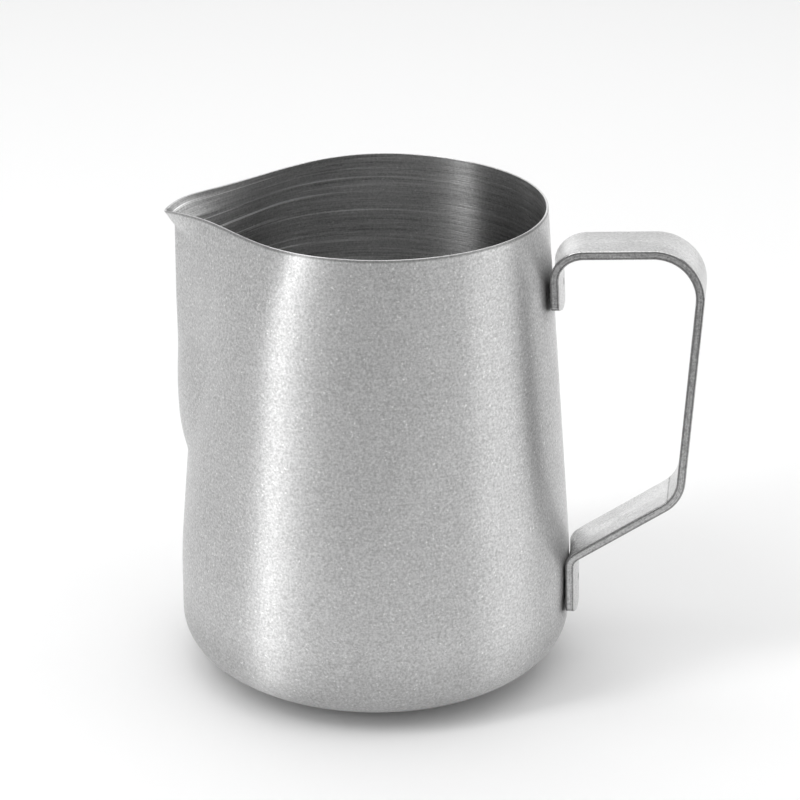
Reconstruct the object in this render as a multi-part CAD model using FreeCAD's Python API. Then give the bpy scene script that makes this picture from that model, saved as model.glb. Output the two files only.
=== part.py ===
import FreeCAD, Part
import math
import os

from FreeCAD import Vector

# Milk frothing pitcher, millimetres, +Z up. The origin is the middle of the flat base,
# +X points at the handle and the pouring spout lies along -X.

# Drawn steel shell
HEIGHT = 109.3            # base to the level part of the rim
WALL = 0.5                # sheet thickness
BASE_RADIUS = 45.0        # widest radius, just above the rounded base corner
FLAT_RADIUS = 25.3        # radius of the flat the pitcher stands on
CORNER_HEIGHT = 12.05     # height of the elliptical base corner
EASE_START = 20.5         # height at which the vertical wall starts to lean in
EASE_HEIGHT = 12.0        # height gained while it eases from vertical into its taper
MOUTH_RADIUS = 38.0       # outer radius at the rim
RIM_ROUND = 0.15          # deburred rim edges

# Spout: a beak pressed out of the wall, round at its foot and V-shaped at the rim
BEAK_FOOT = 50.1          # height at which the beak starts to leave the wall
BEAK_EASE = 5.0           # height scale over which it swells to its full reach
BEAK_SWELL_POWER = 1.2
BEAK_REACH = 45.9         # distance of the beak's ridge from the axis, at its foot
BEAK_LEAN = 0.5           # how much nearer the axis the ridge is at the rim
BEAK_ROUND = 28.0         # radius of the round lower beak
ROUND_SINK = 0.5          # how far the round beak lies behind the line of the V's ridge
FOLD_SOFTNESS = 0.3       # rounding of the fold where the round beak leaves the wall
FOLD_FADE_START = 66.0    # the round beak turns into the V between these heights
FOLD_FADE_END = 88.0
RIDGE_TURN = math.radians(2.0)      # half-angle, seen from the axis, of the V's rounded ridge
PINCH_FOOT = 63.0         # height at which the wall beside the V starts to be drawn in
PINCH = 2.9               # how far it is drawn in at the rim
PINCH_POWER = 3.5
SHOULDER_TURN = math.radians(27.0)  # angular width of the drawn-in shoulder
LIP_HEIGHT = 3.2          # height of the flared pouring lip
LIP_FLARE = 2.4           # how far the lip leans out
LIP_TURN = math.radians(12.0)       # angular width of the flare
LIP_OVERRUN = 1.3         # the flare keeps growing up to here, past the rim cut
TIP_REACH = 47.8          # distance of the spout's tip from the axis
RIM_DIP = 2.4             # how far the rim falls steadily towards the tip of the spout
RIM_DIP_POWER = 2
LIP_DROOP = 1.4           # how much further the flared lip hangs down at the tip
LIP_DROOP_POWER = 24

# Handle: one bent strip, welded to the shell by a tab at each end
STRIP_WIDTH = 14.0
STRIP_THICKNESS = 2.0
STRIP_EDGE = 0.4          # rounding of the strip's long edges
UPPER_TAB = (41.3, 87.55)           # middle of the strip at the upper tab's lower end
UPPER_BEND = (40.5, 101.41)
TOP_BEND = (72.68, 103.34)
LOWER_BEND = (69.7, 45.22)
TAB_BEND = (46.07, 28.74)
LOWER_TAB = (46.54, 14.2)           # middle of the strip at the lower tab's lower end
BEND_RADII = (6.05, 10.1, 8.5, 3.5)
UPPER_CURL = 41.5         # the tabs are curled round the shell to these radii
LOWER_CURL = 46.5
FOOT_ROUND = 2.0          # how far the round ends of the tabs bulge

# Resistance welds that hold the tabs
WELD_RADIUS = 2.2
WELD_SINK = 0.35          # how far the fused metal reaches into a tab
DIMPLE_RADIUS = 0.95      # electrode mark on the outside of each tab
DIMPLE_DEPTH = 0.22
UPPER_WELD_HEIGHT = 93.2
LOWER_WELD_HEIGHT = 21.3

# Resolution of the formed wall
SECTION_COUNT = 30        # horizontal sections through the spout
HALF_POINTS = 44          # points on each half of a section
POINT_CROWDING = 1.8      # above 1, points crowd together at the ridge
OVERRUN = 2.0             # extra wall height that the rim cut takes away
INNER_OVERRUN = 3.0       # the same for the hollow, which passes right through the top
RIM_POINTS = 24           # points along the dip of the rim
RIM_CUT_MARGIN = 1.0      # how far the block that cuts the rim reaches past the tip
BEND_SECTIONS = 9         # sections across the strip through each bend
FUSE_TOLERANCE = 0.0005   # neighbouring pieces of a solid meet within this


def taper_slope():
    """Tangent of the wall's taper."""
    return (BASE_RADIUS - MOUTH_RADIUS) / (HEIGHT - EASE_START - EASE_HEIGHT / 2)


def wall_radius(z):
    """Outer radius of the plain wall: vertical, an easing arc, then a straight taper."""
    climbed = z - EASE_START
    if climbed <= 0:
        return BASE_RADIUS
    slope = taper_slope()
    if climbed < EASE_HEIGHT:
        return BASE_RADIUS - slope * climbed ** 2 / (2 * EASE_HEIGHT)
    return BASE_RADIUS - slope * (climbed - EASE_HEIGHT / 2)


def fade(share):
    """1 to 0, level at both ends."""
    return (1 + math.cos(math.pi * min(max(share, 0.0), 1.0))) / 2


def beak_reach(z, sink):
    """Distance of the beak's ridge from the axis; it is the plain wall's at the foot."""
    climbed = max(z - BEAK_FOOT, 0.0)
    ridge = BEAK_REACH - sink - BEAK_LEAN * climbed / (HEIGHT - BEAK_FOOT)
    settling = math.exp(-(climbed / BEAK_EASE) ** BEAK_SWELL_POWER)
    return ridge - (ridge - wall_radius(z)) * settling


def lip_flare(turn, z):
    """Outward lean of the pouring lip."""
    lip_foot = rim_height(TIP_REACH) - LIP_HEIGHT
    climb = min(max(z - lip_foot, 0.0) / LIP_HEIGHT, LIP_OVERRUN)
    return LIP_FLARE * climb * math.exp(-(turn / LIP_TURN) ** 2)


def round_radius(turn, z, inset):
    """Radius where a round beak stands out of the wall, with a softened fold between."""
    plain = wall_radius(z) - inset
    reach = beak_reach(z, ROUND_SINK)
    centre = reach - BEAK_ROUND
    tube = BEAK_ROUND - inset
    beak = centre * math.cos(turn) + math.sqrt(tube ** 2 - (centre * math.sin(turn)) ** 2)
    gap = beak - plain
    softness = min(FOLD_SOFTNESS, reach - wall_radius(z))
    if gap <= -softness:
        return plain
    if gap >= softness:
        return beak
    return plain + (gap + softness) ** 2 / (4 * softness)


def pinched_radius(turn, z, inset):
    """Radius of a V whose two flank planes are drawn in behind the plain wall."""
    climb = max(z - PINCH_FOOT, 0.0) / (HEIGHT - PINCH_FOOT)
    depth = PINCH * climb ** PINCH_POWER
    angle = RIDGE_TURN + math.acos((wall_radius(z) - depth) / beak_reach(z, 0.0))
    past = abs(turn) - angle
    if past >= 0:
        return wall_radius(z) - inset - depth * math.exp(-(past / SHOULDER_TURN) ** 2)
    ridge = min(math.hypot(turn, RIDGE_TURN), angle)
    return (wall_radius(z) - inset - depth) / math.cos(ridge - angle) + lip_flare(turn, z)


def formed_radius(turn, z, inset):
    """Radius of the formed wall at an angle from the spout, set in by the sheet thickness."""
    roundness = fade((z - FOLD_FADE_START) / (FOLD_FADE_END - FOLD_FADE_START))
    radius = 0.0
    if roundness > 0:
        radius += roundness * round_radius(turn, z, inset)
    if roundness < 1:
        radius += (1 - roundness) * pinched_radius(turn, z, inset)
    return radius


def section_wire(z, inset):
    """Closed horizontal section of the formed wall, starting on the handle side."""
    turns = [math.pi * (i / HALF_POINTS) ** POINT_CROWDING for i in range(HALF_POINTS + 1)]
    turns = [-turn for turn in reversed(turns)] + turns[1:-1]
    points = []
    for turn in turns:
        radius = formed_radius(turn, z, inset)
        points.append(Vector(-radius * math.cos(turn), -radius * math.sin(turn), z))
    knots = turns + [math.pi]
    curve = Part.BSplineCurve()
    curve.interpolate(Points=points, PeriodicFlag=True, Parameters=knots)
    return Part.Wire([curve.toShape()])


def lower_solid(inset):
    """Revolved part: base, base corner and plain wall up to the foot of the beak."""
    wall_side = BASE_RADIUS - inset
    corner = Part.Ellipse(Vector(wall_side, 0, CORNER_HEIGHT),
                          Vector(FLAT_RADIUS, 0, inset),
                          Vector(FLAT_RADIUS, 0, CORNER_HEIGHT))
    ease_middle = EASE_START + EASE_HEIGHT / 2
    ease_top = EASE_START + EASE_HEIGHT
    ease = Part.Arc(Vector(wall_side, 0, EASE_START),
                    Vector(wall_radius(ease_middle) - inset, 0, ease_middle),
                    Vector(wall_radius(ease_top) - inset, 0, ease_top))
    outline = Part.Wire([
        Part.makeLine(Vector(0, 0, inset), Vector(FLAT_RADIUS, 0, inset)),
        Part.Arc(corner, 0, math.pi / 2).toShape(),
        Part.makeLine(Vector(wall_side, 0, CORNER_HEIGHT), Vector(wall_side, 0, EASE_START)),
        ease.toShape(),
        Part.makeLine(Vector(wall_radius(ease_top) - inset, 0, ease_top),
                      Vector(wall_radius(BEAK_FOOT) - inset, 0, BEAK_FOOT)),
        Part.makeLine(Vector(wall_radius(BEAK_FOOT) - inset, 0, BEAK_FOOT),
                      Vector(0, 0, BEAK_FOOT)),
        Part.makeLine(Vector(0, 0, BEAK_FOOT), Vector(0, 0, inset)),
    ])
    return Part.Face(outline).revolve(Vector(0, 0, 0), Vector(0, 0, 1), 360)


def formed_solid(inset, top):
    """Everything inside the outer wall, or inside the inner wall when set in by the sheet."""
    middle = (BEAK_FOOT + top) / 2
    half = (top - BEAK_FOOT) / 2
    heights = [middle - half * math.cos(math.pi * i / SECTION_COUNT)
               for i in range(SECTION_COUNT + 1)]
    upper = Part.makeLoft([section_wire(z, inset) for z in heights], True, False)
    return lower_solid(inset).fuse([upper], FUSE_TOLERANCE)


def rim_height(reach):
    """Height of the rim above the base, at a distance towards the spout."""
    share = max(reach / TIP_REACH, 0.0)
    return HEIGHT - RIM_DIP * share ** RIM_DIP_POWER - LIP_DROOP * share ** LIP_DROOP_POWER


def rim_cutter():
    """Block whose underside is the line of the rim, seen from the side."""
    reach = TIP_REACH + RIM_CUT_MARGIN
    shares = [math.sin(math.pi / 2 * i / RIM_POINTS) for i in range(RIM_POINTS + 1)]
    dip_points = [Vector(-reach * share, 0, rim_height(reach * share)) for share in shares]
    dip = Part.BSplineCurve()
    dip.interpolate(Points=dip_points, InitialTangent=Vector(-1, 0, 0),
                    FinalTangent=dip_points[-1] - dip_points[-2])
    above = HEIGHT + 2 * OVERRUN
    corners = [dip_points[-1], Vector(-reach, 0, above), Vector(reach, 0, above),
               Vector(reach, 0, HEIGHT), dip_points[0]]
    sides = [Part.makeLine(a, b) for a, b in zip(corners, corners[1:])]
    face = Part.Face(Part.Wire([dip.toShape()] + sides))
    face.translate(Vector(0, -reach, 0))
    return face.extrude(Vector(0, 2 * reach, 0))


def rim_edges(shape):
    """The two edges round the mouth."""
    below_the_rim = (BEAK_FOOT + HEIGHT) / 2
    return [edge for edge in shape.Edges
            if edge.BoundBox.ZMin > below_the_rim and edge.Length > MOUTH_RADIUS]


def pitcher_body():
    outer = formed_solid(0.0, HEIGHT + OVERRUN)
    inner = formed_solid(WALL, HEIGHT + INNER_OVERRUN)
    shell = outer.cut(inner).cut(rim_cutter())
    return shell.makeFillet(RIM_ROUND, rim_edges(shell)).Solids[0]


def strip_stretches():
    """Straight runs and tangent arcs of the strip's middle line, as (length, start, along,
    curvature), from the upper tab to the lower one. Positive curvature turns from X to Z."""
    bends = (UPPER_BEND, TOP_BEND, LOWER_BEND, TAB_BEND)
    corners = [Vector(x, 0, z) for x, z in (UPPER_TAB,) + bends + (LOWER_TAB,)]
    stretches = []
    start = corners[0]
    for before, corner, after, radius in zip(corners, corners[1:], corners[2:], BEND_RADII):
        along = (corner - before).normalize()
        onward = (after - corner).normalize()
        turn = math.atan2(along.x * onward.z - along.z * onward.x, along.dot(onward))
        run = radius * math.tan(abs(turn) / 2)
        stretches.append(((corner - along * run - start).Length, start, along, 0.0))
        stretches.append((radius * abs(turn), corner - along * run, along,
                          math.copysign(1 / radius, turn)))
        start = corner + onward * run
    stretches.append(((corners[-1] - start).Length, start, onward, 0.0))
    return stretches


def strip_place(stretch, share):
    """Middle of the strip and its left-hand normal, part of the way along a stretch."""
    length, start, along, curvature = stretch
    across = Vector(-along.z, 0, along.x)
    if curvature == 0:
        return start + along * (length * share), across
    angle = length * share * curvature
    normal = across * math.cos(angle) - along * math.sin(angle)
    return start + (across - normal) * (1 / curvature), normal


def strip_curl(index, share):
    """Curvature across the strip: it hugs the shell on the tabs and is flat between."""
    return (1 / UPPER_CURL, fade(share) / UPPER_CURL, 0, 0, 0, 0, 0,
            -fade(1 - share) / LOWER_CURL, -1 / LOWER_CURL)[index]


def strip_section(stretch, curl, share):
    """Closed section across the strip: a rectangle with round corners, curled about its
    middle line."""
    middle, normal = strip_place(stretch, share)

    def at(y, n):
        return middle + normal * (n + curl * y * y / 2) + Vector(0, y, 0)

    def corner(y_sign, n_sign):
        y, n = y_sign * flat_side, n_sign * flat_end
        diagonal = STRIP_EDGE * math.sqrt(0.5)
        return [at(y, n_sign * half_thick), at(y + y_sign * diagonal, n + n_sign * diagonal),
                at(y_sign * half_wide, n)]

    half_wide, half_thick = STRIP_WIDTH / 2, STRIP_THICKNESS / 2
    flat_side, flat_end = half_wide - STRIP_EDGE, half_thick - STRIP_EDGE
    bow = normal * (curl * flat_side ** 2)
    edges = []
    for side in (1, -1):
        face = Part.BezierCurve()
        face.setPoles([at(-side * flat_side, side * half_thick),
                       at(0, side * half_thick) - bow * 0.5,
                       at(side * flat_side, side * half_thick)])
        near, far = corner(side, side), corner(side, -side)[::-1]
        edges += [face.toShape(), Part.Arc(*near).toShape(),
                  Part.makeLine(near[-1], far[0]), Part.Arc(*far).toShape()]
    return Part.Wire(edges)


def foot_trim(foot):
    """What the round end of a tab leaves off, below its full width."""
    half_wide = STRIP_WIDTH / 2
    depth = 2 * STRIP_THICKNESS
    centre = Vector(foot[0] - depth, 0, foot[1] + FOOT_ROUND)
    rounding = Part.Ellipse(centre + Vector(0, half_wide, 0),
                            centre + Vector(0, 0, FOOT_ROUND), centre)
    kept = Part.Face(Part.Wire([rounding.toShape()])).extrude(Vector(2 * depth, 0, 0))
    block = Part.makeBox(2 * depth, 2 * STRIP_WIDTH, 2 * FOOT_ROUND,
                         centre - Vector(0, STRIP_WIDTH, 2 * FOOT_ROUND))
    return block.cut(kept)


def tab_face_x(height, side):
    """Where a tab's face is at a height: side 1 is its outer face, -1 the face at the shell."""
    if height > HEIGHT / 2:
        foot, bend = UPPER_TAB, UPPER_BEND
    else:
        foot, bend = LOWER_TAB, TAB_BEND
    share = (height - foot[1]) / (bend[1] - foot[1])
    return foot[0] + (bend[0] - foot[0]) * share + side * STRIP_THICKNESS / 2


def weld_dimple(height):
    """Ball that presses the electrode mark into the outer face of a tab."""
    ball = (DIMPLE_RADIUS ** 2 + DIMPLE_DEPTH ** 2) / (2 * DIMPLE_DEPTH)
    return Part.makeSphere(ball, Vector(tab_face_x(height, 1) + ball - DIMPLE_DEPTH, 0, height))


def weld_nugget(height, shell):
    """Fused metal that fills the gap beside the shell and reaches into a tab."""
    start = wall_radius(height) - WALL / 2
    end = tab_face_x(height, -1) + WELD_SINK
    pin = Part.makeCylinder(WELD_RADIUS, end - start, Vector(start, 0, height),
                            Vector(1, 0, 0))
    return max(pin.cut(shell).Solids, key=lambda piece: piece.CenterOfMass.x)


def handle(nuggets):
    """The bent strip, with its electrode marks and the seats of its welds."""
    pieces = []
    for index, stretch in enumerate(strip_stretches()):
        steps = BEND_SECTIONS if stretch[-1] else 1
        sections = [strip_section(stretch, strip_curl(index, i / steps), i / steps)
                    for i in range(steps + 1)]
        pieces.append(Part.makeLoft(sections, True, False))
    strip = pieces[0].fuse(pieces[1:], FUSE_TOLERANCE)
    for foot in (UPPER_TAB, LOWER_TAB):
        strip = strip.cut(foot_trim(foot))
    for height in (UPPER_WELD_HEIGHT, LOWER_WELD_HEIGHT):
        strip = strip.cut(weld_dimple(height))
    for nugget in nuggets:
        strip = strip.cut(nugget)
    return strip.Solids[0]


def main():
    shell = pitcher_body()
    upper_weld = weld_nugget(UPPER_WELD_HEIGHT, shell)
    lower_weld = weld_nugget(LOWER_WELD_HEIGHT, shell)
    nodes = {
        "pitcher_body": shell,
        "handle": handle((upper_weld, lower_weld)),
        "upper_weld": upper_weld,
        "lower_weld": lower_weld,
    }
    os.makedirs("parts", exist_ok=True)
    for name, shape in nodes.items():
        shape.exportStep(os.path.join("parts", name + ".step"))
        box = shape.BoundBox
        print(name, shape.ShapeType, "valid", shape.isValid(), "volume", round(shape.Volume, 1),
              "x", round(box.XMin, 2), round(box.XMax, 2), "z", round(box.ZMin, 2),
              round(box.ZMax, 2))


main()
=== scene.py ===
import math

import bpy
import numpy as np
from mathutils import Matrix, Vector


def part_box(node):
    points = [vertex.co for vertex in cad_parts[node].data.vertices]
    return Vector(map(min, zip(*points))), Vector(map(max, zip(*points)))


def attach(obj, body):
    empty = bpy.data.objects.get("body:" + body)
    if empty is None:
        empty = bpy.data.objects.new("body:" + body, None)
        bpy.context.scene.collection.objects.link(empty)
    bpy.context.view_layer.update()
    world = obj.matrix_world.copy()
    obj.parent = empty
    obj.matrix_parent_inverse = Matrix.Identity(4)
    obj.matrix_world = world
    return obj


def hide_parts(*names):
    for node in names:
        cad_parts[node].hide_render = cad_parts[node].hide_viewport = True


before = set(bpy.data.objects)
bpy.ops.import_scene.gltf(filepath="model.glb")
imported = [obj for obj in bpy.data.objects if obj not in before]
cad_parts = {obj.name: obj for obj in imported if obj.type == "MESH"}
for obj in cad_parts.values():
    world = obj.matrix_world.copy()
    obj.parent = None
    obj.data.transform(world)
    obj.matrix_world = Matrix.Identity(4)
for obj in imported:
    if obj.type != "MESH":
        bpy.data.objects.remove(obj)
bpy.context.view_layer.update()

# ---------------------------------------------------------------------------
# Sizes in metres. +X points at the handle, the spout lies along -X, +Z is up.
# ---------------------------------------------------------------------------

BODY_LOW, BODY_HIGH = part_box("pitcher_body")
HEIGHT = BODY_HIGH.z
WALL = 0.0005
BASE_RADIUS = BODY_HIGH.x
FLAT_RADIUS = 0.0253
CORNER_HEIGHT = 0.01205
EASE_START = 0.0205
EASE_HEIGHT = 0.012
MOUTH_RADIUS = 0.038
RIM_ROUND = 0.00015
MEAN_RADIUS = 0.041

BEAK_FOOT = 0.0501
BEAK_EASE = 0.005
BEAK_SWELL_POWER = 1.2
BEAK_REACH = 0.0459
BEAK_LEAN = 0.0005
BEAK_ROUND = 0.028
ROUND_SINK = 0.0005
FOLD_SOFTNESS = 0.0003
FOLD_FADE_START = 0.066
FOLD_FADE_END = 0.088
RIDGE_TURN = math.radians(2.0)
PINCH_FOOT = 0.063
PINCH = 0.0029
PINCH_POWER = 3.5
SHOULDER_TURN = math.radians(27.0)
LIP_HEIGHT = 0.0032
LIP_FLARE = 0.0024
LIP_TURN = math.radians(12.0)
TIP_REACH = 0.0478
RIM_DIP = 0.0024
RIM_DIP_POWER = 2
LIP_DROOP = 0.0014
LIP_DROOP_POWER = 24

STRIP_WIDTH = 0.014
STRIP_THICKNESS = 0.002
STRIP_EDGE = 0.0004
UPPER_TAB = (0.0413, 0.08755)
UPPER_BEND = (0.0405, 0.10141)
TOP_BEND = (0.07268, 0.10334)
LOWER_BEND = (0.0697, 0.04522)
TAB_BEND = (0.04607, 0.02874)
LOWER_TAB = (0.04654, 0.0142)
BEND_RADII = (0.00605, 0.0101, 0.0085, 0.0035)
UPPER_CURL = 0.0415
LOWER_CURL = 0.0465
FOOT_ROUND = 0.002
UPPER_WELD_HEIGHT = 0.0932
LOWER_WELD_HEIGHT = 0.0213
DIMPLE_RADIUS = 0.00095
DIMPLE_DEPTH = 0.00022
SLOPE = 6
# How far back from the end of the lower bend the painted shade across the strip sits.
CREASE_INTO_BEND = 0.0019

# ---------------------------------------------------------------------------
# Fineness of the two meshes
# ---------------------------------------------------------------------------

HALF_COLUMNS = 140
COLUMN_CROWDING = 1.45
BASE_HOLE = 0.004
BASE_ROWS = 10
CORNER_ROWS = 25
WALL_ROWS = 26
FORMED_ROWS = 96
RIM_ROWS = 13
BISECTIONS = 40
BEND_STEP = 0.00025
STRAIGHT_STEP = 0.0004
FACE_POINTS = 45
EDGE_POINTS = 6
FOOT_ROWS = 30
END_ROWS = 8

# ---------------------------------------------------------------------------
# Finish and light
# ---------------------------------------------------------------------------

BLAST_GRAIN = 1900.0
SPECK_GRAIN = 1500.0
CLOUD_GRAIN = 45.0
OUTSIDE_TONE = 0.66
OUTSIDE_ROUGH = 0.47
# RIM_BAND and BASE_BAND: widths of the painted shade under the rim and up from the base.
RIM_BAND = 0.00045
BASE_BAND = 0.02
RING_EDGES = (0.004, 0.03)
# INSIDE_TONE is lower than OUTSIDE_TONE: the darker inside is painted shade in the mouth.
INSIDE_TONE = 0.43
INSIDE_ROUGH = 0.36
SHELL_ANISOTROPY = 0.95
STRIP_TONE = 0.58
STRIP_ROUGH = 0.28
STRIP_ANISOTROPY = 0.6
# Place and half width of the painted shade line along each long edge of the strip.
SHADE_LINE_OFF_MIDDLE = 0.00066
SHADE_LINE_HALF_WIDTH = 0.00024
CREASE_HALF_WIDTH = 0.0003

FLOOR_REACH = 0.63
FLOOR_CENTRE = 0.5
FLOOR_GAP = 0.00005
FLOOR_TONE = 0.94
FLOOR_SIDES = 128
DIM_DIRECTION = (0.13, -0.99)
DIM_EDGES = (0.95, 0.2)
BACK_EDGES = (-0.75, -0.97)
CEILING_EDGES = (0.2, 0.8)
FRONT_LEVEL = 0.72
SIDE_LEVEL = 0.85
BACK_LEVEL = 1.34
CEILING_LEVEL = 0.02
LIGHT_AIM = (0, 0, 0.06)
KEY_TURN = 56.0
KEY_AWAY = 1.2
KEY_HEIGHT = 0.9
KEY_SIZE = (0.3, 1.5)
KEY_POWER = 7.4
FILL_TURN = 88.0
FILL_AWAY = 1.5
FILL_HEIGHT = 0.5
FILL_SIZE = (1.0, 1.4)
FILL_POWER = 3.4
OVERHEAD_PLACE = (0, 0.1, 1.3)
OVERHEAD_AIM = (0, 0.1, 0)
OVERHEAD_SIZE = (2.0, 2.0)
OVERHEAD_POWER = 19.5

CAMERA_TURN = math.radians(8.5)
CAMERA_TILT = math.radians(22.55)
CAMERA_AWAY = 0.5865
CAMERA_TARGET = (0, 0, 0.06237)
CAMERA_LENS = 116.1
CAMERA_SHIFT = 0.03025


# ---------------------------------------------------------------------------
# Shell: the same drawn wall as the CAD part, as one closed grid of quads
# ---------------------------------------------------------------------------

def wall_radius(z):
    """Outer radius of the plain wall: vertical, an easing arc, then a straight taper."""
    slope = (BASE_RADIUS - MOUTH_RADIUS) / (HEIGHT - EASE_START - EASE_HEIGHT / 2)
    climbed = np.maximum(z - EASE_START, 0.0)
    eased = slope * climbed ** 2 / (2 * EASE_HEIGHT)
    return BASE_RADIUS - np.where(climbed < EASE_HEIGHT, eased,
                                  slope * (climbed - EASE_HEIGHT / 2))


def fade(share):
    """1 to 0, level at both ends."""
    return (1 + np.cos(math.pi * np.clip(share, 0.0, 1.0))) / 2


def beak_reach(z, sink):
    """Distance of the beak's ridge from the axis; it is the plain wall's at the foot."""
    climbed = np.maximum(z - BEAK_FOOT, 0.0)
    ridge = BEAK_REACH - sink - BEAK_LEAN * climbed / (HEIGHT - BEAK_FOOT)
    settling = np.exp(-(climbed / BEAK_EASE) ** BEAK_SWELL_POWER)
    return ridge - (ridge - wall_radius(z)) * settling


def round_radius(turn, z, inset):
    """Radius where a round beak stands out of the wall, with a softened fold between."""
    plain = wall_radius(z) - inset
    reach = beak_reach(z, ROUND_SINK)
    centre = reach - BEAK_ROUND
    tube = BEAK_ROUND - inset
    beak = centre * np.cos(turn) + np.sqrt(tube ** 2 - (centre * np.sin(turn)) ** 2)
    softness = np.clip(reach - wall_radius(z), 1e-9, FOLD_SOFTNESS)
    gap = beak - plain
    softened = (np.clip(gap + softness, 0.0, 2 * softness)) ** 2 / (4 * softness)
    return plain + np.where(gap < softness, softened, gap)


def pinched_radius(turn, z, inset):
    """Radius of a V whose two flank planes are drawn in behind the plain wall."""
    climb = np.maximum(z - PINCH_FOOT, 0.0) / (HEIGHT - PINCH_FOOT)
    depth = PINCH * climb ** PINCH_POWER
    lean = (wall_radius(z) - depth) / beak_reach(z, 0.0)
    angle = RIDGE_TURN + np.arccos(np.clip(lean, -1.0, 1.0))
    past = np.maximum(np.abs(turn) - angle, 0.0)
    shoulder = wall_radius(z) - inset - depth * np.exp(-(past / SHOULDER_TURN) ** 2)
    ridge = np.minimum(np.hypot(turn, RIDGE_TURN), angle)
    flank = (wall_radius(z) - inset - depth) / np.cos(ridge - angle)
    lip_climb = np.maximum(z - (HEIGHT - RIM_DIP - LIP_DROOP - LIP_HEIGHT), 0.0) / LIP_HEIGHT
    flare = LIP_FLARE * lip_climb * np.exp(-(turn / LIP_TURN) ** 2)
    return np.where(np.abs(turn) < angle, flank + flare, shoulder)


def formed_radius(turn, z, inset):
    """Radius of the formed wall at an angle from the spout, set in by the sheet thickness."""
    roundness = fade((z - FOLD_FADE_START) / (FOLD_FADE_END - FOLD_FADE_START))
    return (roundness * round_radius(turn, z, inset)
            + (1 - roundness) * pinched_radius(turn, z, inset))


def rim_height(turn):
    """Height of the rim at an angle from the spout; it falls towards the tip."""
    low, high = np.full_like(turn, HEIGHT - 2 * (RIM_DIP + LIP_DROOP)), np.full_like(turn, HEIGHT)
    for _ in range(BISECTIONS):
        middle = (low + high) / 2
        share = np.maximum(formed_radius(turn, middle, 0.0) * np.cos(turn), 0.0) / TIP_REACH
        cut = HEIGHT - RIM_DIP * share ** RIM_DIP_POWER - LIP_DROOP * share ** LIP_DROOP_POWER
        low, high = np.where(middle < cut, middle, low), np.where(middle < cut, high, middle)
    return (low + high) / 2


def shell_rows(turn):
    """Rows of (radius, height, inside) over the columns, from under the base up the outside,
    over the rim and down the inside. inside is 0 outside, 1 inside and between on the rim."""
    rim = rim_height(turn)
    ones = np.ones_like(turn)
    corner_sweep = np.linspace(0, math.pi / 2, CORNER_ROWS + 1)[1:]
    wall_climb = np.linspace(CORNER_HEIGHT, BEAK_FOOT, WALL_ROWS + 2)[1:-1]
    formed_climb = (1 - np.cos(np.linspace(0, math.pi, FORMED_ROWS))) / 2

    def wall_rows(inset, inside):
        flat = [(r, inset) for r in np.linspace(BASE_HOLE, FLAT_RADIUS, BASE_ROWS)]
        across = BASE_RADIUS - inset - FLAT_RADIUS
        up = CORNER_HEIGHT - inset
        corner = [(FLAT_RADIUS + across * math.sin(a), CORNER_HEIGHT - up * math.cos(a))
                  for a in corner_sweep]
        wall = [(float(wall_radius(z)) - inset, z) for z in wall_climb]
        rows = [(r * ones, z * ones, inside * ones) for r, z in flat + corner + wall]
        for climb in formed_climb:
            z = BEAK_FOOT + (rim - RIM_ROUND - BEAK_FOOT) * climb
            rows.append((formed_radius(turn, z, inset), z, inside * ones))
        return rows

    rim_rows = []
    for angle in np.linspace(0, math.pi, RIM_ROWS + 2)[1:-1]:
        z = rim - RIM_ROUND * (1 - math.sin(angle))
        bead = RIM_ROUND * (1 - abs(math.cos(angle)))
        inset = bead if angle <= math.pi / 2 else WALL - bead
        rim_rows.append((formed_radius(turn, z, inset), z, inset / WALL * ones))
    return wall_rows(0.0, 0.0) + rim_rows + wall_rows(WALL, 1.0)[::-1]


def grid_mesh(name, points):
    """Mesh from rows of points that close round; each end row is shut with a fan."""
    rows, columns = points.shape[:2]
    vertices = points.reshape(-1, 3).tolist()
    faces = []
    for r in range(rows - 1):
        for c in range(columns):
            d = (c + 1) % columns
            faces.append((r * columns + c, r * columns + d,
                          (r + 1) * columns + d, (r + 1) * columns + c))
    for row, flip in ((0, True), (rows - 1, False)):
        centre = len(vertices)
        vertices.append(points[row].mean(0).tolist())
        for c in range(columns):
            a, b = row * columns + c, row * columns + (c + 1) % columns
            faces.append((b, a, centre) if flip else (a, b, centre))
    mesh = bpy.data.meshes.new(name)
    mesh.from_pydata(vertices, [], faces)
    mesh.update()
    mesh.polygons.foreach_set("use_smooth", [True] * len(mesh.polygons))
    piece = bpy.data.objects.new(name, mesh)
    bpy.context.collection.objects.link(piece)
    return piece


def add_attribute(piece, name, values):
    """Vector per grid point; the two fan centres take the value of their own row."""
    flat = np.concatenate([values.reshape(-1, 3), values[0, :1], values[-1, :1]])
    attribute = piece.data.attributes.new(name, "FLOAT_VECTOR", "POINT")
    attribute.data.foreach_set("vector", flat.ravel())


def make_shell():
    """The shell. Its grain attribute holds the distance from the rim along the profile, the
    distance round from the spout at a mean radius, and 0 outside to 1 inside."""
    half = math.pi * (np.arange(HALF_COLUMNS + 1) / HALF_COLUMNS) ** COLUMN_CROWDING
    turn = np.concatenate([-half[::-1], half[1:-1]])
    rows = shell_rows(turn)
    points = np.array([np.stack([-r * np.cos(turn), -r * np.sin(turn), z], -1)
                       for r, z, _ in rows])
    inside = np.array([row[2] for row in rows])
    travelled = np.linalg.norm(np.diff(points, axis=0, prepend=points[:1]), axis=-1).cumsum(axis=0)
    from_rim = np.abs(travelled - travelled[len(rows) // 2])
    around = np.broadcast_to(MEAN_RADIUS * np.abs(turn), inside.shape)
    piece = grid_mesh("shell", points)
    add_attribute(piece, "grain", np.stack([from_rim, around, inside], -1))
    return piece


# ---------------------------------------------------------------------------
# Handle: one strip with rounded edges, laid along its bent middle line
# ---------------------------------------------------------------------------

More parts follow.
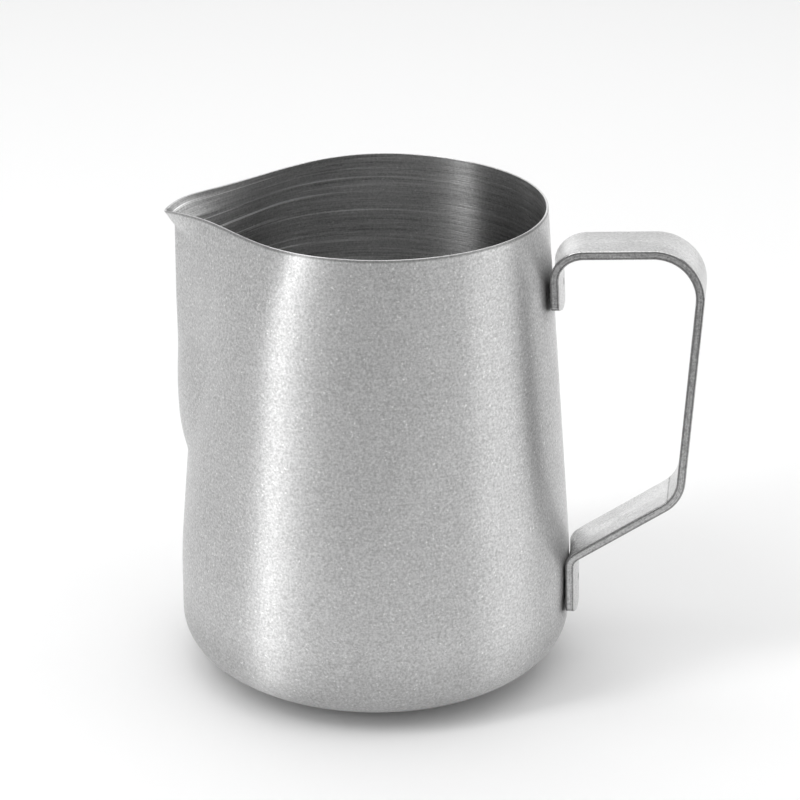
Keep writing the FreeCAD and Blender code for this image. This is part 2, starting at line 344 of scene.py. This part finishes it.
def strip_stretches():
    """Straight runs and tangent arcs as (length, start, along, curvature), from the upper
    tab to the lower one. Positive curvature turns from X to Z."""
    corners = [Vector(p) for p in (UPPER_TAB, UPPER_BEND, TOP_BEND, LOWER_BEND, TAB_BEND,
                                   LOWER_TAB)]
    stretches = []
    start = corners[0]
    for before, corner, after, radius in zip(corners, corners[1:], corners[2:], BEND_RADII):
        along = (corner - before).normalized()
        onward = (after - corner).normalized()
        turn = math.atan2(along.cross(onward), along.dot(onward))
        run = radius * math.tan(abs(turn) / 2)
        stretches.append(((corner - along * run - start).length, start, along, 0.0))
        stretches.append((radius * abs(turn), corner - along * run, along,
                          math.copysign(1 / radius, turn)))
        start = corner + onward * run
    stretches.append(((corners[-1] - start).length, start, onward, 0.0))
    return stretches


def strip_place(stretch, share):
    """Middle of the strip and its left-hand normal, part of the way along a stretch."""
    length, start, along, curvature = stretch
    across = Vector((-along.y, along.x))
    if curvature == 0:
        return start + along * (length * share), across
    angle = length * share * curvature
    normal = across * math.cos(angle) - along * math.sin(angle)
    return start + (across - normal) / curvature, normal


def strip_curl(index, share):
    """Curvature across the strip: it hugs the shell on the tabs and is flat between."""
    return (1 / UPPER_CURL, fade(share) / UPPER_CURL, 0, 0, 0, 0, 0,
            -fade(1 - share) / LOWER_CURL, -1 / LOWER_CURL)[index]


def strip_stations(stretches):
    """(stretch index, share) of every row, crowded where the ends round off."""
    round_end = [FOOT_ROUND * (1 - math.cos(a)) for a in np.linspace(0, math.pi / 2, FOOT_ROWS)]
    edge_end = [STRIP_EDGE * (1 - math.cos(a)) for a in np.linspace(0, math.pi / 2, END_ROWS)]
    ends = sorted(set(round(s, 9) for s in round_end + edge_end))
    stations = []
    last = len(stretches) - 1
    for index, (length, _, _, curvature) in enumerate(stretches):
        step = BEND_STEP if curvature else STRAIGHT_STEP
        shares = np.linspace(0, 1, max(int(length / step), 2))[:-1]
        if index == 0:
            shares = [s / length for s in ends] + [q for q in shares if q * length > FOOT_ROUND]
        if index == last:
            shares = [q for q in shares if (1 - q) * length > FOOT_ROUND]
            shares += [1 - s / length for s in reversed(ends)]
        stations += [(index, share) for share in shares]
    return stations


def strip_section(half_wide, half_thick, edge):
    """Closed rounded rectangle of (y, n) points, the same number for every size."""
    flat = np.linspace(-1, 1, FACE_POINTS)
    sweep = np.linspace(0, math.pi / 2, EDGE_POINTS + 2)[1:-1]
    y_in, n_in = half_wide - edge, half_thick - edge
    points = []
    for side in (1, -1):
        points += [(-side * y * y_in, side * half_thick) for y in flat]
        points += [(-side * (y_in + edge * math.sin(a)), side * (n_in + edge * math.cos(a)))
                   for a in sweep]
        points += [(-side * half_wide, side * n * n_in) for n in (1, 0.33, -0.33, -1)]
        points += [(-side * (y_in + edge * math.cos(a)), -side * (n_in + edge * math.sin(a)))
                   for a in sweep]
    return np.array(points)


def dimple_depth(y, z):
    """Depth of the electrode marks at a place on an outer tab face."""
    away = np.minimum(np.hypot(y, z - UPPER_WELD_HEIGHT), np.hypot(y, z - LOWER_WELD_HEIGHT))
    return DIMPLE_DEPTH * np.clip(1 - (away / DIMPLE_RADIUS) ** 2, 0.0, 1.0)


def stretch_ends():
    return np.cumsum([0.0] + [stretch[0] for stretch in strip_stretches()])


def make_handle():
    """The strip. Its grain attribute holds the distance along it and round its section; its
    edge attribute holds 0 on a face to 1 on a side, the place across the thickness, and
    how deep in an electrode mark."""
    stretches = strip_stretches()
    ends = stretch_ends()
    rows, grains, edges = [], [], []
    for index, share in strip_stations(stretches):
        middle, normal = strip_place(stretches[index], share)
        travelled = ends[index] + share * stretches[index][0]
        from_end = min(travelled, ends[-1] - travelled)
        round_in = max(1 - from_end / FOOT_ROUND, 0.0)
        half_wide = STRIP_WIDTH / 2 * math.sqrt(max(1 - round_in ** 2, 0.02))
        edge_in = max(STRIP_EDGE - from_end, 0.0)
        lost = STRIP_EDGE - math.sqrt(max(STRIP_EDGE ** 2 - edge_in ** 2, 0.0))
        half_thick = STRIP_THICKNESS / 2 - lost
        section = strip_section(half_wide, half_thick, max(STRIP_EDGE - lost, 1e-5))
        y, n = section[:, 0], section[:, 1]
        on_side = np.clip(1 - (half_wide - np.abs(y)) / STRIP_EDGE, 0.0, 1.0)
        pressed = np.zeros_like(y)
        if index in (0, len(stretches) - 1):
            outer = -1 if index == 0 else 1
            on_outer_face = np.isclose(n, outer * half_thick)
            pressed = np.where(on_outer_face, dimple_depth(y, middle.y), 0.0)
            n = n - outer * pressed
        grains.append(np.stack([np.full(len(y), travelled), y + n, 0 * y], -1))
        edges.append(np.stack([on_side, n, pressed / DIMPLE_DEPTH], -1))
        n = n + strip_curl(index, share) * y ** 2 / 2
        rows.append(np.stack([middle.x + normal.x * n, y, middle.y + normal.y * n], -1))
    piece = grid_mesh("strip_handle", np.array(rows))
    add_attribute(piece, "grain", np.array(grains))
    add_attribute(piece, "edge", np.array(edges))
    return piece


# ---------------------------------------------------------------------------
# Materials
# ---------------------------------------------------------------------------

class Graph:
    """Short names for building one node tree."""

    def __init__(self, tree):
        self.nodes = tree.nodes
        self.links = tree.links

    def put(self, socket, value):
        if isinstance(value, bpy.types.NodeSocket):
            self.links.new(value, socket)
        else:
            socket.default_value = value

    def math(self, operation, *values):
        node = self.nodes.new("ShaderNodeMath")
        node.operation = operation
        for socket, value in zip(node.inputs, values):
            self.put(socket, value)
        return node.outputs[0]

    def scaled(self, vector, scale):
        node = self.nodes.new("ShaderNodeVectorMath")
        node.operation = "MULTIPLY"
        self.put(node.inputs[0], vector)
        node.inputs[1].default_value = scale
        return node.outputs[0]

    def noise(self, vector, scale, detail=2.0, roughness=0.5):
        node = self.nodes.new("ShaderNodeTexNoise")
        self.put(node.inputs["Vector"], vector)
        node.inputs["Scale"].default_value = scale
        node.inputs["Detail"].default_value = detail
        node.inputs["Roughness"].default_value = roughness
        return node.outputs["Fac"]

    def ranged(self, value, low, high, to_low, to_high):
        node = self.nodes.new("ShaderNodeMapRange")
        for socket, entry in zip(node.inputs, (value, low, high, to_low, to_high)):
            self.put(socket, entry)
        return node.outputs[0]

    def band(self, value, middle, half_width):
        """1 at the middle, falling to 0 half a width away."""
        away = self.math("ABSOLUTE", self.math("SUBTRACT", value, float(middle)))
        return self.ranged(away, 0.0, half_width, 1.0, 0.0)

    def dimmed(self, tone, where, depth):
        return self.math("MULTIPLY", tone, self.ranged(where, 0.0, 1.0, 1.0, 1.0 - depth))

    def grey(self, value):
        node = self.nodes.new("ShaderNodeCombineColor")
        for socket in node.inputs:
            self.put(socket, value)
        return node.outputs[0]

    def bump(self, height, distance, strength=1.0, under=None):
        node = self.nodes.new("ShaderNodeBump")
        node.inputs["Distance"].default_value = distance
        node.inputs["Strength"].default_value = strength
        self.put(node.inputs["Height"], height)
        if under:
            self.put(node.inputs["Normal"], under)
        return node.outputs[0]

    def attribute(self, name):
        node = self.nodes.new("ShaderNodeAttribute")
        node.attribute_name = name
        return node.outputs["Vector"]

    def parts(self, vector):
        node = self.nodes.new("ShaderNodeSeparateXYZ")
        self.put(node.inputs[0], vector)
        return node.outputs

    def tangent(self, axis="Z"):
        node = self.nodes.new("ShaderNodeTangent")
        node.direction_type = "RADIAL"
        node.axis = axis
        return node.outputs[0]

    def place(self):
        return self.nodes.new("ShaderNodeTexCoord").outputs["Object"]


def new_steel(name):
    material = bpy.data.materials.new(name)
    material.use_nodes = True
    shader = material.node_tree.nodes["Principled BSDF"]
    shader.inputs["Metallic"].default_value = 1.0
    return material, Graph(material.node_tree), shader.inputs


def shell_steel():
    """Blasted satin outside with painted shade under the rim and towards the base, turned polish
    rings inside with painted highlight lines near the spout, and a painted highlight on the rim
    between."""
    material, g, steel = new_steel("satin_steel")
    place = g.place()
    grain = g.attribute("grain")
    height = g.parts(place)[2]
    from_rim, around, inside = g.parts(grain)
    outside = g.math("SUBTRACT", 1.0, inside)
    # rim: mask that peaks on the rounded rim, used for a painted highlight there.
    rim = g.math("MULTIPLY", g.math("MULTIPLY", inside, outside), 4.0)
    # Painted shade: the outside colour is darker in a thin band just under the rim and towards the
    # base.
    painted_shade = g.ranged(from_rim, RIM_BAND, 1.7 * RIM_BAND, 0.55, 1.0)
    painted_shade = g.math("MULTIPLY", painted_shade, g.ranged(height, 0.0, BASE_BAND, 0.62, 1.0))
    fine = g.noise(place, BLAST_GRAIN, 3.0, 0.7)
    specks = g.ranged(g.noise(place, SPECK_GRAIN, 1.0), 0.66, 0.78, 0.0, 0.26)
    clouds = g.noise(place, CLOUD_GRAIN, 2.0)
    brushed = g.noise(g.scaled(grain, (2400.0, 90.0, 0.0)), 1.0, 3.0, 0.6)
    rings = g.noise(g.scaled(grain, (1100.0, 30.0, 0.0)), 1.0, 4.0, 0.75)

    tone = g.ranged(fine, 0.3, 0.7, OUTSIDE_TONE - 0.17, OUTSIDE_TONE + 0.17)
    tone = g.math("ADD", tone, g.ranged(brushed, 0.3, 0.7, -0.03, 0.03))
    tone = g.math("ADD", tone, g.ranged(clouds, 0.3, 0.7, -0.02, 0.02))
    tone = g.math("ADD", tone, specks)
    # Painted highlights: bright ring lines inside, strongest near the spout and fading round from
    # it.
    lines = g.noise(g.scaled(grain, (850.0, 12.0, 0.0)), 1.0, 2.0, 0.5)
    lines = g.ranged(lines, 0.56, 0.66, 0.0, g.ranged(around, 0.02, 0.075, 0.7, 0.1))
    up_wall = g.ranged(height, *RING_EDGES, 0.3, 1.0)
    ringed = g.math("MULTIPLY", g.ranged(rings, 0.3, 0.7, -0.2, 0.2), up_wall)
    ringed = g.math("ADD", g.math("ADD", ringed, INSIDE_TONE), g.math("MULTIPLY", lines, up_wall))
    ringed = g.math("ADD", ringed, g.ranged(fine, 0.3, 0.7, -0.1, 0.1))
    ringed = g.math("ADD", ringed, g.math("MULTIPLY", specks, 0.6))
    tone = g.math("MULTIPLY", g.math("MULTIPLY", tone, painted_shade), outside)
    tone = g.math("ADD", tone, g.math("MULTIPLY", ringed, inside))
    # The rim mask adds a painted highlight along the rim.
    g.put(steel["Base Color"], g.grey(g.math("ADD", tone, g.math("MULTIPLY", rim, 0.35))))

    satin = g.ranged(fine, 0.3, 0.7, OUTSIDE_ROUGH + 0.04, OUTSIDE_ROUGH - 0.04)
    turned = g.ranged(rings, 0.35, 0.65, INSIDE_ROUGH + 0.05, INSIDE_ROUGH - 0.05)
    rough = g.math("ADD", g.math("MULTIPLY", satin, outside), g.math("MULTIPLY", turned, inside))
    g.put(steel["Roughness"], rough)
    steel["Anisotropic"].default_value = SHELL_ANISOTROPY
    steel["Anisotropic Rotation"].default_value = 0.25
    g.put(steel["Tangent"], g.tangent())
    relief = g.bump(g.math("MULTIPLY", fine, g.ranged(inside, 0.0, 1.0, 1.0, 0.3)), 0.00002)
    furrows = g.math("MULTIPLY", g.math("MULTIPLY", rings, inside), up_wall)
    g.put(steel["Normal"], g.bump(furrows, 0.0001, under=relief))
    return material


def strip_steel():
    """Satin faces with faint lines along the strip. Its sides are duller and streaked, with
    a painted shade line and a painted highlight along each long edge."""
    material, g, steel = new_steel("brushed_strip")
    place = g.place()
    grain = g.attribute("grain")
    travelled = g.parts(grain)[0]
    on_side, across, pressed = g.parts(g.attribute("edge"))
    fine = g.noise(place, BLAST_GRAIN, 3.0, 0.7)
    lines = g.noise(g.scaled(grain, (160.0, 2200.0, 0.0)), 1.0, 3.0, 0.65)
    streaks = g.noise(g.scaled(grain, (110.0, 5200.0, 0.0)), 1.0, 3.0, 0.7)
    clouds = g.noise(place, 70.0, 2.0)
    tone = g.ranged(fine, 0.3, 0.7, STRIP_TONE - 0.14, STRIP_TONE + 0.14)
    tone = g.math("ADD", tone, g.ranged(lines, 0.3, 0.7, -0.03, 0.03))
    tone = g.math("ADD", tone, g.ranged(clouds, 0.3, 0.7, -0.02, 0.02))

    worn = g.ranged(streaks, 0.3, 0.7, -0.3, 0.0)
    tone = g.math("ADD", tone, g.math("MULTIPLY", worn, on_side))
    # Painted shade: a dark line along each long edge, on the sides.
    edge_shade_line = g.band(g.math("ABSOLUTE", across), SHADE_LINE_OFF_MIDDLE, SHADE_LINE_HALF_WIDTH)
    edge_shade_line = g.math("MULTIPLY", edge_shade_line, g.ranged(streaks, 0.3, 0.6, 0.75, 1.0))
    tone = g.dimmed(tone, g.math("MULTIPLY", edge_shade_line, on_side), 0.7)
    # Painted highlight along the rounded long edges.
    tone = g.math("ADD", tone, g.math("MULTIPLY", g.band(on_side, 0.3, 0.3), 0.24))

    # Painted shade across one face of the strip at the lower bend.
    ragged = g.math("ADD", travelled, g.ranged(fine, 0.3, 0.7, -0.0003, 0.0003))
    crease_shade = g.band(ragged, stretch_ends()[SLOPE] - CREASE_INTO_BEND, CREASE_HALF_WIDTH)
    crease_shade = g.math("MULTIPLY", crease_shade, g.ranged(across, -0.0008, -0.0006, 1.0, 0.0))
    tone = g.dimmed(tone, crease_shade, 0.8)
    tone = g.dimmed(tone, g.math("MINIMUM", g.math("MULTIPLY", pressed, 3.0), 1.0), 0.92)
    g.put(steel["Base Color"], g.grey(tone))

    rough = g.ranged(lines, 0.3, 0.7, STRIP_ROUGH + 0.04, STRIP_ROUGH - 0.04)
    g.put(steel["Roughness"], g.math("SUBTRACT", rough, g.math("MULTIPLY", on_side, 0.05)))
    steel["Anisotropic"].default_value = STRIP_ANISOTROPY
    steel["Anisotropic Rotation"].default_value = 0.25
    g.put(steel["Tangent"], g.tangent())
    relief = g.bump(fine, 0.00001)
    g.put(steel["Normal"], g.bump(g.math("MULTIPLY", streaks, on_side), 0.00002, under=relief))
    return material


def weld_steel():
    """Dull, heat-darkened weld metal."""
    material, g, steel = new_steel("weld_metal")
    place = g.place()
    scorch = g.noise(place, 700.0, 3.0, 0.6)
    g.put(steel["Base Color"], g.grey(g.ranged(scorch, 0.3, 0.7, 0.24, 0.42)))
    g.put(steel["Roughness"], g.ranged(scorch, 0.3, 0.7, 0.6, 0.45))
    g.put(steel["Normal"], g.bump(scorch, 0.00004))
    return material


def paint(piece, material):
    piece.data.materials.clear()
    piece.data.materials.append(material)


# ---------------------------------------------------------------------------
# Build
# ---------------------------------------------------------------------------

shell = make_shell()
paint(shell, shell_steel())
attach(shell, "root")
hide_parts("pitcher_body")

strip = make_handle()
paint(strip, strip_steel())
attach(strip, "root")
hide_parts("handle")

weld_metal = weld_steel()
for node in ("upper_weld", "lower_weld"):
    paint(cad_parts[node], weld_metal)


# ---------------------------------------------------------------------------
# Studio
# ---------------------------------------------------------------------------

def make_floor():
    mesh = bpy.data.meshes.new("floor")
    sweep = np.linspace(0, 2 * math.pi, FLOOR_SIDES + 1)[:-1]
    ring = [(FLOOR_REACH * math.cos(a), FLOOR_CENTRE + FLOOR_REACH * math.sin(a), -FLOOR_GAP)
            for a in sweep]
    mesh.from_pydata(ring, [], [range(FLOOR_SIDES)])
    floor = bpy.data.objects.new("floor", mesh)
    bpy.context.collection.objects.link(floor)
    material = bpy.data.materials.new("pale_floor")
    material.use_nodes = True
    shader = material.node_tree.nodes["Principled BSDF"]
    shader.inputs["Base Color"].default_value = (FLOOR_TONE, FLOOR_TONE, FLOOR_TONE, 1)
    shader.inputs["Roughness"].default_value = 0.7
    shader.inputs["Specular IOR Level"].default_value = 0.2
    mesh.materials.append(material)


def make_world():
    """A white tent, dimmer on the side that the pitcher is seen from and dark at the top and
    bottom. The camera sees it as plain white."""
    world = bpy.data.worlds.new("studio")
    world.use_nodes = True
    g = Graph(world.node_tree)
    background = g.nodes["Background"]
    background.inputs["Color"].default_value = (1, 1, 1, 1)
    x, y, z = g.parts(g.nodes.new("ShaderNodeTexCoord").outputs["Generated"])
    flat = g.math("SQRT", g.math("SUBTRACT", 1.0, g.math("MULTIPLY", z, z)))
    ahead = g.math("ADD", g.math("MULTIPLY", x, DIM_DIRECTION[0]),
                   g.math("MULTIPLY", y, DIM_DIRECTION[1]))
    ahead = g.math("DIVIDE", ahead, g.math("MAXIMUM", flat, 0.01))
    level = g.ranged(ahead, *DIM_EDGES, FRONT_LEVEL, SIDE_LEVEL)
    level = g.ranged(ahead, *BACK_EDGES, level, BACK_LEVEL)
    level = g.ranged(g.math("ABSOLUTE", z), *CEILING_EDGES, level, CEILING_LEVEL)
    seen = g.nodes.new("ShaderNodeLightPath").outputs["Is Camera Ray"]
    level = g.ranged(seen, 0.0, 1.0, level, 1.0)
    g.put(background.inputs["Strength"], level)
    bpy.context.scene.world = world


def make_light(name, place, aim, size, power):
    data = bpy.data.lights.new(name, "AREA")
    data.shape = "RECTANGLE"
    data.size, data.size_y = size
    data.energy = power
    light = bpy.data.objects.new(name, data)
    light.location = place
    light.rotation_mode = "QUATERNION"
    light.rotation_quaternion = (Vector(aim) - Vector(place)).to_track_quat("-Z", "Y")
    light.visible_camera = False
    bpy.context.collection.objects.link(light)


def make_camera():
    """The viewing angle: slightly towards the handle side, from above."""
    level = math.cos(CAMERA_TILT)
    back = Vector((math.sin(CAMERA_TURN) * level, -math.cos(CAMERA_TURN) * level,
                   math.sin(CAMERA_TILT)))
    data = bpy.data.cameras.new("camera")
    data.sensor_width = 36.0
    data.lens = CAMERA_LENS
    data.shift_x = CAMERA_SHIFT
    camera = bpy.data.objects.new("camera", data)
    camera.location = Vector(CAMERA_TARGET) + back * CAMERA_AWAY
    camera.rotation_mode = "QUATERNION"
    camera.rotation_quaternion = (-back).to_track_quat("-Z", "Y")
    bpy.context.collection.objects.link(camera)
    bpy.context.scene.camera = camera


make_floor()
make_world()
key_turn = math.radians(KEY_TURN)
make_light("key", (-KEY_AWAY * math.sin(key_turn), -KEY_AWAY * math.cos(key_turn), KEY_HEIGHT),
           LIGHT_AIM, KEY_SIZE, KEY_POWER)
fill_turn = math.radians(FILL_TURN)
make_light("fill", (FILL_AWAY * math.sin(fill_turn), -FILL_AWAY * math.cos(fill_turn),
                    FILL_HEIGHT), LIGHT_AIM, FILL_SIZE, FILL_POWER)
make_light("overhead", OVERHEAD_PLACE, OVERHEAD_AIM, OVERHEAD_SIZE, OVERHEAD_POWER)
make_camera()
bpy.context.scene.view_settings.view_transform = "Standard"
